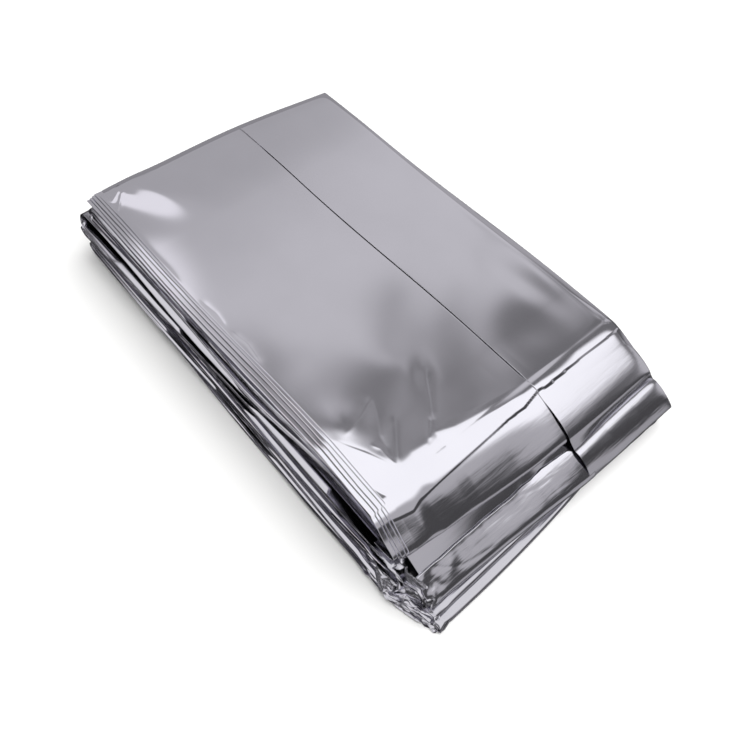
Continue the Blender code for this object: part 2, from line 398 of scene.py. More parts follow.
def front_dip(x, y):
    """The slope down to the front crease: minus the slope times a softened distance beyond the dip's line."""
    line = np.array(FRONT_DIP_LINE)
    beyond = x - np.interp(y, line[:, 1], line[:, 0])
    softened = FRONT_DIP_SOFTNESS * np.logaddexp(0, beyond / FRONT_DIP_SOFTNESS)
    return -FRONT_DIP * softened * ramp(y, -33, -28) * (1 - ramp(y, -6, 8))


def corner_relief(x, y):
    """The near front corner sinks beyond a line: minus the slope times a softened distance beyond it."""
    (x0, y0), (x1, y1) = CORNER_LINE
    length = np.hypot(x1 - x0, y1 - y0)
    beyond = ((x - x0) * (y1 - y0) - (y - y0) * (x1 - x0)) / length
    softened = CORNER_SOFTNESS * np.logaddexp(0, beyond / CORNER_SOFTNESS)
    return -CORNER_SLOPE * softened * ramp(x, 24, 34)


def crumple(points, pitch, seed):
    """Flat facets between straight creases: the mean of six triangle waves in fixed random directions."""
    chance = np.random.default_rng(seed)
    total = np.zeros(points.shape[:-1])
    for _ in range(6):
        way = chance.normal(size=3)
        way /= np.linalg.norm(way)
        wave = pitch * chance.uniform(0.7, 1.6)
        phase = points @ way / wave + chance.random()
        total += 4 * np.abs(phase - np.floor(phase + 0.5)) - 1
    return total / 6


def wander(t, seed, waves=5):
    """A smooth line between about -1 and 1: the sum of sines with fixed random pitches and starts."""
    chance = np.random.default_rng(seed)
    total = 0
    for number in range(1, waves + 1):
        total = total + np.sin(t * number * chance.uniform(0.8, 1.3) + chance.uniform(0, 6.3)) / number ** 0.7
    return total / 2.2


def make_piece(name, points, faces, material, sharp_angle=60):
    """A mesh object from points in millimetres, moved to the model's place and riding on the body. It is smooth but
    for edges over the sharp angle, in degrees."""
    mesh = bpy.data.meshes.new(name)
    mesh.from_pydata(((points.reshape(-1, 3) - SHIFT) * MM).tolist(), [], faces)
    mesh.validate()
    mesh.shade_smooth()
    mesh.set_sharp_from_angle(angle=np.radians(sharp_angle))
    mesh.materials.append(material)
    piece = bpy.data.objects.new(name, mesh)
    bpy.context.scene.collection.objects.link(piece)
    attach(piece, "root")
    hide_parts(NODE)
    return piece


def grid_faces(rows, columns, closed_rows=False):
    """Quads of a grid of rows x columns points, with the last row joined to the first where the rows close."""
    index = np.arange(rows * columns).reshape(rows, columns)
    if closed_rows:
        index = np.concatenate([index, index[:1]])
    return np.stack([index[:-1, :-1], index[:-1, 1:], index[1:, 1:], index[1:, :-1]], axis=-1).reshape(-1, 4)


def between_faces(first, second, depth):
    """Points at a depth between the strip's two faces: 0 is the first face and 1 the second."""
    return first + (second - first) * depth


def top_weight(along):
    """1 on the top run, fading to 0 on the steep part of the first front fold."""
    return 1 - ramp(along, 1.2, 1.8)


def surface_normals(points):
    """Unit normals of a grid of points: the cross product of its differences along the two directions."""
    rows, columns = np.gradient(points, axis=0), np.gradient(points, axis=1)
    normals = np.cross(columns, rows)
    return normals / np.maximum(np.linalg.norm(normals, axis=-1, keepdims=True), 1e-9)


def bundle_profile(face_steps):
    """The closed outline of a flattened bundle, from the tip of its near edge over its first face to the tip of its far
    edge and back under: place, side (0 is the first face and 1 the second), and -1 or 1 at the tips."""
    t = np.linspace(0, 1, face_steps)
    face = np.sort(np.concatenate([0.5 * t + 0.5 * (1 - np.cos(np.pi * t)) / 2, GROOVE_PLACES]))
    place = np.concatenate([[0], face, [1], face[::-1]])
    side = np.concatenate([[0.5], 0 * face, [0.5], 0 * face + 1])
    tip = np.concatenate([[-1], 0 * face, [1], 0 * face])
    return place, side, tip


def film_bundle(name, number, top_depth, under_depth, material):
    """One bundle of films through all ten layers: a flattened tube between two depths of the strip.

    Its side edges are pinched to a tip, and they wander in and out and up and down in their own way on each layer.
    """
    steps = [40, 16] * (RUNS - 1) + [40]
    place, side, tip = bundle_profile(26)
    first, second, along = folded_strip(place, steps)
    x = first[..., 0]
    wall = np.linalg.norm(second - first, axis=-1) * (under_depth - top_depth)
    near_shift, far_shift, flutter, pinch, lean = (np.zeros_like(x) for _ in range(5))
    for index in range(RUNS):
        weight = np.clip(1.5 - np.abs(along / 2 - index - 0.25) * 2, 0, 1)
        seed = 100 * number + index
        near_shift += weight * (0.45 + 0.42 * wander(x / 48.0, seed, 2))
        if index in SET_IN_RUNS:
            near_shift += weight * SET_IN * ramp(x, *SET_IN_X)
        far_shift += weight * (0.45 + 0.42 * wander(x / 48.0, 500 + seed, 2))
        flutter += weight * 0.10 * wander(x / 40.0, 900 + seed, 2)
        pinch += weight * (0.65 + 0.35 * wander(x / 36.0, 1300 + seed, 3))
        lean += weight * 0.30 * wander(x / 40.0, 1700 + seed, 2)
    side = np.where(tip[:, None] != 0, np.clip(side[:, None] + lean, 0.1, 0.9), side[:, None])
    points = between_faces(first, second, (top_depth + (under_depth - top_depth) * side)[..., None])
    place = place[:, None]
    near_edge, far_edge = (1 - place) ** 6, place ** 6
    points[..., 1] += near_edge * np.maximum(near_shift, 0) - far_edge * np.maximum(far_shift, 0)
    points[..., 1] += tip[:, None] * wall * np.maximum(pinch, 0.15)
    points[..., 2] += flutter * np.maximum(near_edge, far_edge) * (along < SEGMENTS - 1)
    weight = top_weight(along) * (along < 2)
    points[..., 2] += weight * (swells(x, points[..., 1], TOP_SWELLS) + corner_relief(x, points[..., 1])
                               + front_dip(x, points[..., 1]) - 0.06)
    groove = np.interp(place, GROOVE_PLACES, GROOVE_SHARES)
    points[..., 2] -= GROOVE_DEPTH * groove * ramp(x, *GROOVE_OPENS) * (along < 1.12)
    band = ramp(along, 4.0, 4.5) * (1 - ramp(along, 6.5, 7.0))
    points[..., 0] -= band * BAND_TUCK * np.maximum(x - BAND_TUCK_X, 0)
    points += corner_crush(points, along, number)
    points[..., 2] = np.maximum(points[..., 2], 0.02)
    rows, columns = points.shape[:2]
    ring = np.arange(1, rows // 2 - 1)
    quads, tips = [grid_faces(rows, columns, closed_rows=True)], []
    for column, order in ((0, 1), (columns - 1, -1)):
        index = np.arange(rows) * columns + column
        cap = np.stack([index[ring], index[ring + 1], index[rows - ring - 1], index[rows - ring]], axis=-1)
        quads.append(cap[:, ::order])
        ends = np.array([[index[0], index[1], index[-1]], [index[rows // 2], index[rows // 2 + 1], index[rows // 2 - 1]]])
        tips.append(ends[:, ::order])
    faces = np.concatenate(quads).tolist() + np.concatenate(tips).tolist()
    return make_piece(name, points, faces, material, sharp_angle=30)


CRUSH = 1.7
CRUSH_PITCH = 3.6


def corner_crush(points, along, seed):
    """Moves points near the crushed near front corner by flat facets, most at the edge and low down."""
    x, y, z = points[..., 0], points[..., 1], points[..., 2]
    corner = ramp(x, 44, 60) * ramp(-y, 33, 42) * (1 - ramp(z, 9, 15))
    move = np.stack([crumple(points, CRUSH_PITCH, seed + salt) for salt in (31, 62, 93)], axis=-1)
    return move * (corner * CRUSH)[..., None] * np.array([0.8, 0.9, 0.7])


def leaf_profile(start, end, face_steps, hem, crowd):
    """An open film with its side edges turned under: place, side and how far out, as in bundle_profile.

    hem is how far each edge turns back under, as a part of the width, and crowd draws the columns to the edges.
    """
    t = np.linspace(0, 1, face_steps)
    face = start + (end - start) * (t - crowd * np.sin(2 * np.pi * t) / (2 * np.pi))
    tuck = np.linspace(1, 0, 4)
    near = start + hem * tuck
    far = end - hem * tuck[::-1]
    place = np.concatenate([near, [start] * 3, face, [end] * 3, far])
    side = np.concatenate([[1] * 4, [0.85, 0.5, 0.15], 0 * face, [0.15, 0.5, 0.85], [1] * 4])
    out = np.concatenate([[0] * 4, [-0.7, -1, -0.7], 0 * face, [0.7, 1, 0.7], [0] * 4])
    return place, side, out


WIDE_NEAR = 0.025
WIDE_FAR = 0.6085
NARROW_NEAR = 0.6145
NARROW_FAR = 0.998
LEAF_THICK = 0.16
LEAF_LIFT = 0.05


SLIT_CLOSES = (44.0, 48.0)
SLIT_REOPENS = (52.0, 56.0)
SLIT_CLOSING = 0.2
SLIT_HEM = 0.15


def slit_closing(x, place, way):
    """How far a leaf's edge moves to shut the slit before the front fold, fading over the leaf next to the slit."""
    shut = ramp(x, *SLIT_CLOSES) * (1 - ramp(x, *SLIT_REOPENS))
    near = np.exp(-np.abs(place[:, None] - SLIT_PLACE) / 0.02)
    return way * SLIT_CLOSING * shut * near


def wide_leaf(material):
    """The wide leaf on top and round the upper front fold, with the listed creases."""
    steps = [330, 170, 40] + [2] * (SEGMENTS - 3)
    place, side, out = leaf_profile(WIDE_NEAR, WIDE_FAR, 160, 0.03, 0.3)
    first, second, along = folded_strip(place, steps)
    keep = along < 2.45
    first, second, along = first[:, keep], second[:, keep], along[keep]
    wall = np.linalg.norm(second - first, axis=-1, keepdims=True)
    points = first + (second - first) / wall * (LEAF_THICK * side[:, None, None] - LEAF_LIFT)
    points[..., 1] += out[:, None] * LEAF_THICK / 2 + slit_closing(points[..., 0], place, 1)
    x, y = points[..., 0], points[..., 1]
    weight = top_weight(along)
    relief = swells(x, y, TOP_SWELLS) + corner_relief(x, y) + front_dip(x, y)
    for crease in WIDE_CREASES:
        relief += crease_relief(x, y, crease)
    relief += front_step(x, y) + edge_bend(x - points[:, :1, 0]) + near_rise(place)[:, None]
    points[..., 2] += weight * relief
    piece = make_piece("wide_leaf", points, grid_faces(*points.shape[:2]).tolist(), material)
    return piece


NARROW_LEAVES = 1.42
NARROW_MEETS = 9.48

# The sharp valley of the narrow leaf between the two bulges: x, y and z
VALLEY = ((63.7, 12.0, 12.4), (63.2, 20.1, 12.4), (62.9, 30.2, 12.6), (62.8, 40.5, 12.9))


def narrow_leaf(material):
    """The narrow leaf beside the slit: over the top, proud of the upper fold, and down on to the lower fold."""
    steps = [260, 180, 2, 2, 2, 2, 2, 2, 2, 100] + [2] * (SEGMENTS - 10)
    place, side, out = leaf_profile(NARROW_NEAR, NARROW_FAR, 100, 0.03, 0.3)
    side = np.where(place < NARROW_NEAR + 0.031, side * SLIT_HEM, side)
    first, second, along = folded_strip(place, steps)
    top = along < NARROW_LEAVES
    low = (along > NARROW_MEETS) & (along < 9.97)
    inwards = unit(second - first)
    upper, lower = first[:, top], first[:, low]
    start, end = upper[:, -1:], lower[:, :1]
    line = np.array(VALLEY)
    valley = np.stack([np.interp(start[..., 1], line[:, 1], line[:, 0]), (start[..., 1] + end[..., 1]) / 2,
                       np.interp(start[..., 1], line[:, 1], line[:, 2])], axis=-1)
    fall = curve_between(start, unit(upper[:, -1:] - upper[:, -2:-1]) * 2.5, valley, unit(valley - start) * 3, 14)
    pillow = curve_between(valley, np.array([8.0, 0, 1.2]), end, unit(lower[:, 1:2] - lower[:, :1]) * 3.0, 30)
    face = np.concatenate([upper, fall, valley, pillow, lower], axis=1)
    bridge_steps = face.shape[1] - upper.shape[1] - lower.shape[1]
    join = np.linspace(0, 1, bridge_steps)[None, :, None]
    bridge_in = inwards[:, top][:, -1:] * (1 - join) + inwards[:, low][:, :1] * join
    inwards = unit(np.concatenate([inwards[:, top], bridge_in, inwards[:, low]], axis=1))
    along = np.concatenate([along[top], NARROW_LEAVES + 0.2 * join[0, :, 0], along[low]])
    proud = 0.55 * ramp(along, 0.97, 1.25)
    points = face + inwards * (LEAF_THICK * side[:, None, None] - LEAF_LIFT - proud[None, :, None])
    below = ramp(along, NARROW_LEAVES + 0.14, NARROW_MEETS)
    points -= inwards * (0.12 * below * crumple(points, 7.0, 77))[..., None]
    waist = 0.9 * below * ramp(points[..., 1], 34, 41)
    points -= inwards * (waist * crumple(points, 3.2, 78))[..., None]
    points[..., 1] += out[:, None] * LEAF_THICK / 2 + slit_closing(points[..., 0], place, -1)
    x, y = points[..., 0], points[..., 1]
    weight = top_weight(along)
    relief = swells(x, y, TOP_SWELLS) + front_step(x, y)
    relief += edge_bend(x - points[:, :1, 0]) + edge_bend(points[-5:-4, :, 1] - y)
    points[..., 2] += weight * relief
    piece = make_piece("narrow_leaf", points, grid_faces(*points.shape[:2]).tolist(), material)
    return piece


# The films that show past the wide leaf's near edge: how far out each one's edge lies, and how far it lies down
EdgeLeaf = namedtuple("EdgeLeaf", "out_back out_front drop")
EDGE_LEAVES = (
    EdgeLeaf(0.6, 0.8, 0.12),
    EdgeLeaf(1.3, 1.6, 0.38),
    EdgeLeaf(2.0, 2.5, 0.72),
    EdgeLeaf(2.8, 3.3, 1.10),
)
EDGE_LEAF_THICK = 0.10
EDGE_LEAF_WIDTH = 2.2


def edge_leaves(material):
    """Four films whose near edges show side by side past the wide leaf, over the top and round the upper fold."""
    steps = [200, 60] + [2] * (SEGMENTS - 2)
    first, second, along = folded_strip([WIDE_NEAR], steps)
    keep = along < 1.9
    base, under, along = first[0, keep], second[0, keep], along[keep]
    inwards = (under - base) / np.linalg.norm(under - base, axis=-1, keepdims=True)
    x = base[:, 0]
    side = np.array([1, 0.85, 0.5, 0.15, 0, 0, 0, 0, 0, 0])
    inset = np.array([0.03, 0, -0.03, 0, 0.05, 0.2, 0.4, 0.7, 1.1, 1.0 * EDGE_LEAF_WIDTH])
    points, faces = [], []
    for number, leaf in enumerate(EDGE_LEAVES):
        share = (x - SIDE_BACK_X) / (SIDE_FRONT_X - SIDE_BACK_X)
        out = leaf.out_back + (leaf.out_front - leaf.out_back) * share
        out = out + 0.22 * wander(x / 30.0, 40 + number, 3) + 0.05 * wander(x / 4.0, 50 + number, 3)
        tilt = 0.10 * wander(x / 22.0, 60 + number, 3)
        down = leaf.drop + EDGE_LEAF_THICK * side[:, None] + tilt * (1 - inset[:, None] / EDGE_LEAF_WIDTH)
        strip = base + inwards * down[..., None]
        strip[..., 1] += inset[:, None] - out
        sunk = swells(x, base[:, 1], TOP_SWELLS) + corner_relief(x, base[:, 1]) + front_step(x, base[:, 1])
        sunk = sunk + near_rise(WIDE_NEAR)
        strip[..., 2] += top_weight(along) * sunk
        faces.append(grid_faces(*strip.shape[:2]) + sum(len(part.reshape(-1, 3)) for part in points))
        points.append(strip)
    piece = make_piece("edge_leaves", np.concatenate(points), np.concatenate(faces).tolist(), material)
    return piece


# Where the free edge of the lower bulge's outer film lies, from the near to the far side: x, y and z
LOWER_LEAF_EDGE = ((62.3, -40.0, 11.1), (62.3, -34.6, 11.2), (62.2, -24.1, 11.2), (62.3, -14.5, 11.2),
                   (62.6, -10.1, 11.3), (62.3, -5.7, 11.3), (62.6, -2.9, 11.4), (62.2, 1.1, 11.5), (62.6, 4.3, 11.8),
                   (63.0, 8.9, 12.1), (63.3, 12.0, 12.2))
LOWER_LEAF_LIFT = 0.35
LOWER_FAR = 0.635
RECESS_FOOT_DROP = 0.30


def unit(way):
    """Vectors of length 1 along the given ones."""
    return way / np.linalg.norm(way, axis=-1, keepdims=True)


def curve_between(start, start_way, end, end_way, steps):
    """Points between two ends along a cubic curve that leaves and meets them in the given ways."""
    t = np.linspace(0, 1, steps + 2)[1:-1][None, :, None]
    return (start * (1 + 2 * t) * (1 - t) ** 2 + start_way * t * (1 - t) ** 2 + end * t ** 2 * (3 - 2 * t)
            - end_way * t ** 2 * (1 - t))


def recess_leaf(material):
    """The film that hangs in the recess, from under the upper bulge to behind the lower one's free edge."""
    steps = [2, 60] + [2] * (SEGMENTS - 2)
    place = np.linspace(WIDE_NEAR, LOWER_FAR, 60)
    first, _, along = folded_strip(place, steps)
    start = first[:, np.argmin(np.abs(along - 1.66))][:, None]
    line = np.array(LOWER_LEAF_EDGE)
    y = start[..., 1]
    foot = np.stack([np.interp(y, line[:, 1], line[:, 0]) - 0.15, y,
                     np.interp(y, line[:, 1], line[:, 2]) - RECESS_FOOT_DROP], axis=-1)
    t = np.linspace(0, 1, 12)[None, :, None]
    points = np.concatenate([start - np.array([6.0, 0, -0.3]), start + (foot - start) * t], axis=1)
    t = np.concatenate([np.zeros((1, 1, 1)), t], axis=1)
    points[..., 0] += 0.15 * np.sin(np.pi * t[..., 0]) * wander(y / 9.0, 71, 3)
    piece = make_piece("recess_leaf", points, grid_faces(*points.shape[:2]).tolist(), material)
    return piece


def lower_leaf(material):
    """The outer film of the lower bulge, with a wavy free edge at its top."""
    steps = [2] * 9 + [110] + [2] * (SEGMENTS - 10)
    place, side, out = leaf_profile(0.012, LOWER_FAR, 130, 0.03, 0.2)
    first, second, along = folded_strip(place, steps)
    keep = (along > 9.32) & (along < 9.97)
    inwards = unit(second - first)[:, keep]
    lift = LOWER_LEAF_LIFT * (1 + ramp(first[:, keep, 1], -4, 10))
    face = first[:, keep] - inwards * lift[..., None]
    line = np.array(LOWER_LEAF_EDGE)
    y = face[:, :1, 1]
    edge = np.stack([np.interp(y, line[:, 1], line[:, 0]) + 0.10 * wander(y / 1.6, 72, 3), y,
                     np.interp(y, line[:, 1], line[:, 2])], axis=-1)
    flat = ramp(y, -12, 2)[..., None]
    leave = np.array([3.2, 0, -3.0]) * (1 - flat) + np.array([4.6, 0, -0.9]) * flat
    meet = unit(face[:, 1:2] - face[:, :1]) * 4.0
    back = curve_between(edge, leave, face[:, :1], meet, 24)
    hem = edge + np.array([[[0.25, 0, -0.14], [0.06, 0, -0.12], [-0.04, 0, -0.05]]])
    face = np.concatenate([hem, edge, back, face], axis=1)
    inwards = np.concatenate([np.repeat(inwards[:, :1], 28, axis=1), inwards], axis=1)
    points = face + inwards * (LEAF_THICK * side[:, None, None])
    points[..., 1] += out[:, None] * LEAF_THICK / 2
    x, y = points[..., 0], points[..., 1]
    relief = swells(x, y, LOWER_SWELLS) + sum(crease_relief(x, y, crease) for crease in LOWER_CREASES)
    points -= inwards * relief[..., None]
    points += corner_crush(points, along, 5) * 0.6
    piece = make_piece("lower_leaf", points, grid_faces(*points.shape[:2]).tolist(), material)
    return piece


# Soft forms and creases of the lower bulge's outer film
LOWER_SWELLS = (
    Swell(64.5, -31.0, 1.6, 2.0, 10.0, 0.30),
    Swell(66.0, -36.0, 2.5, 1.4, 40.0, -0.30),
    Swell(64.5, -20.0, 7.0, 1.2, 80.0, 0.08),
)
LOWER_CREASES = (
    Crease(((61.6, -36.5), (64.0, -33.0), (66.5, -28.0), (67.8, -18.0)), -0.10, 0.5),
    Crease(((61.0, -12.0), (63.0, -8.5), (64.5, -3.5), (65.5, 4.0)), -0.04, 0.4),
)


# Crumpled films over the near front corner: where each starts and ends along x, its low and high side at both ends,
# how far out it stands, and how strongly it is crumpled
CornerFilm = namedtuple("CornerFilm", "back front low_back low_front high_back high_front out crush")
CORNER_FILMS = (
    CornerFilm(50.0, 63.0, 1.2, 0.9, 5.2, 4.0, 0.5, 2.0),
    CornerFilm(57.0, 70.5, 3.4, 1.0, 8.0, 3.0, -0.4, 1.7),
    CornerFilm(59.5, 65.0, 7.5, 6.6, 12.5, 12.0, -1.6, 1.3),
)
CORNER_FILM_PITCH = 4.2


def corner_films(material):
    """Crumpled films over the crushed near front corner, which fold into straight facets."""
    points, faces = [], []
    for number, film in enumerate(CORNER_FILMS):
        t, rise = np.meshgrid(np.linspace(0, 1, 110), np.linspace(0, 1, 50))
        x = film.back + (film.front - film.back) * t
        low = film.low_back + (film.low_front - film.low_back) * t
        high = film.high_back + (film.high_front - film.high_back) * t
        z = low + (high - low) * rise + 0.4 * rise * wander(x / 2.0, 80 + number, 3)
        y = side_edges(CORNER_FIRST_LAYER + 2, x)[0] - film.out + 1.6 * (1 - ramp(t, 0, 0.25)) + 1.0 * rise ** 3
        sheet = np.stack([x, y, z], axis=-1)
        move = np.stack([crumple(sheet, CORNER_FILM_PITCH, 200 + 10 * number + salt) for salt in (1, 2, 3)], axis=-1)
        sheet = sheet + move * film.crush
        sheet[..., 2] = np.maximum(sheet[..., 2], 0.05)
        faces.append(grid_faces(*sheet.shape[:2]) + number * x.size)
        points.append(sheet)
    piece = make_piece("corner_films", np.stack(points), np.concatenate(faces).tolist(), material, sharp_angle=25)
    return piece


# The colour sockets of a Mix node, which has one of each name for every kind of value
MIX_COLOUR_A = 6
MIX_COLOUR_B = 7
MIX_COLOUR_RESULT = 2


def film_surface_group():
    """A shader group for the film's surface: its tint, with painted lines of shade and light on side faces, its
    roughness, and the height of fine streaks and lines.
    """
    group = bpy.data.node_groups.new(SURFACE_GROUP, "ShaderNodeTree")
    face = group.interface
    tint_in = face.new_socket("Tint", in_out="INPUT", socket_type="NodeSocketColor")
    tint_in.default_value = (0.86, 0.85, 0.92, 1)
    rough_in = face.new_socket("Roughness", in_out="INPUT", socket_type="NodeSocketFloat")
    rough_in.default_value = 0.08
    shade_lines_in = face.new_socket("Layer shade lines", in_out="INPUT", socket_type="NodeSocketFloat")
    shade_lines_in.default_value = 0.0
    streaks_in = face.new_socket("Streaks", in_out="INPUT", socket_type="NodeSocketFloat")
    streaks_in.default_value = 1.0
    face.new_socket("Tint", in_out="OUTPUT", socket_type="NodeSocketColor")
    face.new_socket("Roughness", in_out="OUTPUT", socket_type="NodeSocketFloat")
    face.new_socket("Height", in_out="OUTPUT", socket_type="NodeSocketFloat")
    nodes, links = group.nodes, group.links
    entry, leave = nodes.new("NodeGroupInput"), nodes.new("NodeGroupOutput")
    place = nodes.new("ShaderNodeTexCoord")

    def noise(scale, detail, squeeze):
        mapping = nodes.new("ShaderNodeMapping")
        mapping.inputs["Scale"].default_value = squeeze
        links.new(place.outputs["Object"], mapping.inputs["Vector"])
        texture = nodes.new("ShaderNodeTexNoise")
        texture.inputs["Scale"].default_value = scale
        texture.inputs["Detail"].default_value = detail
        links.new(mapping.outputs["Vector"], texture.inputs["Vector"])
        return texture.outputs["Fac"]

    def math(kind, first, second):
        node = nodes.new("ShaderNodeMath")
        node.operation = kind
        for socket, value in zip(node.inputs, (first, second)):
            if isinstance(value, (int, float)):
                socket.default_value = value
            else:
                links.new(value, socket)
        return node.outputs["Value"]

    cloud = noise(45.0, 3.0, (1, 1, 1))
    streak = noise(900.0, 2.0, (1.0, 0.12, 1.0))
    grain = noise(2600.0, 1.0, (1, 1, 1))
    split = nodes.new("ShaderNodeSeparateXYZ")
    links.new(place.outputs["Object"], split.inputs["Vector"])
    front = nodes.new("ShaderNodeMapRange")
    front.interpolation_type = "SMOOTHSTEP"
    front.inputs["From Min"].default_value = 0.050
    front.inputs["From Max"].default_value = 0.056
    links.new(split.outputs["X"], front.inputs["Value"])
    mix = nodes.new("ShaderNodeMix")
    mix.data_type = "RGBA"
    mix.blend_type = "MULTIPLY"
    tone = nodes.new("ShaderNodeMapRange")
    tone.inputs["To Min"].default_value = 0.93
    tone.inputs["To Max"].default_value = 1.05
    links.new(cloud, tone.inputs["Value"])
    mix.inputs["Factor"].default_value = 1.0
    links.new(entry.outputs["Tint"], mix.inputs[MIX_COLOUR_A])
    links.new(tone.outputs["Result"], mix.inputs[MIX_COLOUR_B])
    # Layer lines: streaky noise mapped to 0.15 to 1.3 and multiplied into the tint on faces turned sideways, painted
    # lines of shade between the film edges and of light on them; the same noise also adds a bump to the height.
    layers = noise(3400.0, 1.0, (0.006, 0.5, 1.0))
    lines = nodes.new("ShaderNodeMapRange")
    lines.inputs["From Min"].default_value = 0.40
    lines.inputs["From Max"].default_value = 0.58
    lines.inputs["To Min"].default_value = 0.15
    lines.inputs["To Max"].default_value = 1.3
    links.new(layers, lines.inputs["Value"])
    facing = nodes.new("ShaderNodeSeparateXYZ")
    links.new(place.outputs["Normal"], facing.inputs["Vector"])
    sideways = nodes.new("ShaderNodeMapRange")
    sideways.interpolation_type = "SMOOTHSTEP"
    sideways.inputs["From Min"].default_value = 0.25
    sideways.inputs["From Max"].default_value = 0.55
    links.new(math("ABSOLUTE", facing.outputs["Y"], 0.0), sideways.inputs["Value"])
    line_shade_share = math("MULTIPLY", entry.outputs["Layer shade lines"], sideways.outputs["Result"])
    # Multiplies the painted lines of shade and light into the tint.
    shade_lined = nodes.new("ShaderNodeMix")
    shade_lined.data_type = "RGBA"
    shade_lined.blend_type = "MULTIPLY"
    links.new(line_shade_share, shade_lined.inputs["Factor"])
    links.new(mix.outputs[MIX_COLOUR_RESULT], shade_lined.inputs[MIX_COLOUR_A])
    links.new(lines.outputs["Result"], shade_lined.inputs[MIX_COLOUR_B])
    links.new(shade_lined.outputs[MIX_COLOUR_RESULT], leave.inputs["Tint"])
    rough = math("ADD", entry.outputs["Roughness"], math("MULTIPLY", grain, 0.03))
    links.new(math("ADD", rough, math("MULTIPLY", front.outputs["Result"], 0.06)), leave.inputs["Roughness"])
    low = nodes.new("ShaderNodeMapRange")
    low.interpolation_type = "SMOOTHSTEP"
    low.inputs["From Min"].default_value = 0.0140
    low.inputs["From Max"].default_value = 0.0105
    links.new(split.outputs["Z"], low.inputs["Value"])
    share = math("ADD", math("MULTIPLY", low.outputs["Result"], 0.25), 0.30)
    share = math("MULTIPLY", math("MULTIPLY", front.outputs["Result"], share), entry.outputs["Streaks"])
    share = math("ADD", share, 0.004)
    layers = math("MULTIPLY", layers, line_shade_share)
    links.new(math("ADD", math("MULTIPLY", streak, share), layers), leave.inputs["Height"])
    return group


def foil_material(name, tint, roughness, layer_shade_lines, streaks):
    """Metallised film: a bright, slightly lilac mirror with fine streaks across its folds; its layer lines paint lines
    of shade and light on side faces.
    """
    material = bpy.data.materials.new(name)
    material.use_nodes = True
    nodes, links = material.node_tree.nodes, material.node_tree.links
    shader = nodes["Principled BSDF"]
    shader.inputs["Metallic"].default_value = 1.0
    surface = nodes.new("ShaderNodeGroup")
    surface.node_tree = bpy.data.node_groups.get(SURFACE_GROUP) or film_surface_group()
    surface.inputs["Tint"].default_value = (*tint, 1.0)
    surface.inputs["Roughness"].default_value = roughness
    surface.inputs["Layer shade lines"].default_value = layer_shade_lines
    surface.inputs["Streaks"].default_value = streaks
    links.new(surface.outputs["Tint"], shader.inputs["Base Color"])
    links.new(surface.outputs["Roughness"], shader.inputs["Roughness"])
    bump = nodes.new("ShaderNodeBump")
    bump.inputs["Strength"].default_value = 1.0
    bump.inputs["Distance"].default_value = 0.0001
    links.new(surface.outputs["Height"], bump.inputs["Height"])
    links.new(bump.outputs["Normal"], shader.inputs["Normal"])
    return material


def shared_foil(kind=FILM_MATERIAL):
    """The foil material of the outer films, of the inner ones with painted shade, or of the smooth one in the recess,
    made once.
    """
    settings = bpy.context.scene.foil_film
    inner = kind == SHADED_INNER_MATERIAL
    # The inner films take a darker tint and the layer lines: painted shade between the layers.
    tint, layer_shade_lines = (settings.inner_shaded_tint, settings.layer_shade_lines) if inner else (settings.tint, 0.0)
    streaks = 0.15 if kind == SMOOTH_MATERIAL else 1.0
    return bpy.data.materials.get(kind) or foil_material(kind, tint, settings.roughness, layer_shade_lines, streaks)


class FoilFilm(bpy.types.PropertyGroup):
    """Colours and sizes of the film."""

    tint: FloatVectorProperty(name="Tint", description="Colour that the mirror film reflects with", size=3,
                              subtype="COLOR", default=(0.86, 0.85, 0.92), min=0, max=1)
    # The inner tint is a darker copy of the film's tint: painted shade for the dark between the layers.
    inner_shaded_tint: FloatVectorProperty(name="Inner shaded tint", description="Colour that the inner films reflect with", size=3,
                                    subtype="COLOR", default=(0.60, 0.59, 0.64), min=0, max=1)
    roughness: FloatProperty(name="Roughness", description="How soft the film's reflections are", default=0.07,
                             min=0, max=1, subtype="FACTOR")
    # The layer lines paint lines of shade and light on the inner films' side faces, and add a bump.
    layer_shade_lines: FloatProperty(name="Layer shade lines", description="Depth of the fine lines along the inner films",
                               default=0.8, min=0, max=1, subtype="FACTOR")
    bundles: IntProperty(name="Bundles", description="Bundles of films in the strip's thickness", default=5, min=1,
                         max=6)


class FoilStage(bpy.types.PropertyGroup):
    """Colours and strengths of the floor, the room and the light."""

    floor: FloatVectorProperty(name="Floor", description="Colour of the floor", size=3, subtype="COLOR",
                               default=(0.93, 0.93, 0.92), min=0, max=1)
    softbox: FloatProperty(name="Softbox", description="Brightness of the big soft light overhead", default=1.05, min=0)
    wall: FloatProperty(name="Wall", description="Brightness of the room's wall", default=0.56, min=0)
    dark: FloatProperty(name="Dark", description="Brightness of the room's dark side", default=0.06, min=0)
    lamp: FloatProperty(name="Lamp", description="Strength of the lamp that lights the floor", default=2.6, min=0)


class FOIL_OT_stage(bpy.types.Operator):
    """Makes the camera, the floor, the room's light and the lamp"""

    bl_idname = "foil.stage"
    bl_label = "Stage"

    def execute(self, context):
        settings = context.scene.foil_stage
        make_camera(context.scene)
        make_floor(settings)
        make_room(context.scene, settings)
        make_lamp(settings)
        return {"FINISHED"}


class FOIL_OT_films(bpy.types.Operator):
    """Fills the folded strip with bundles of films"""

    bl_idname = "foil.films"
    bl_label = "Film bundles"

    def execute(self, context):
        count = context.scene.foil_film.bundles
        for number in range(count):
            top, under = (number + 0.08) / count, (number + 0.80) / count
            # The bundles take the darker inner material: painted shade between the layers.
            piece = film_bundle(f"films_{number + 1}", number, top, under, shared_foil(SHADED_INNER_MATERIAL))
        return {"FINISHED"}


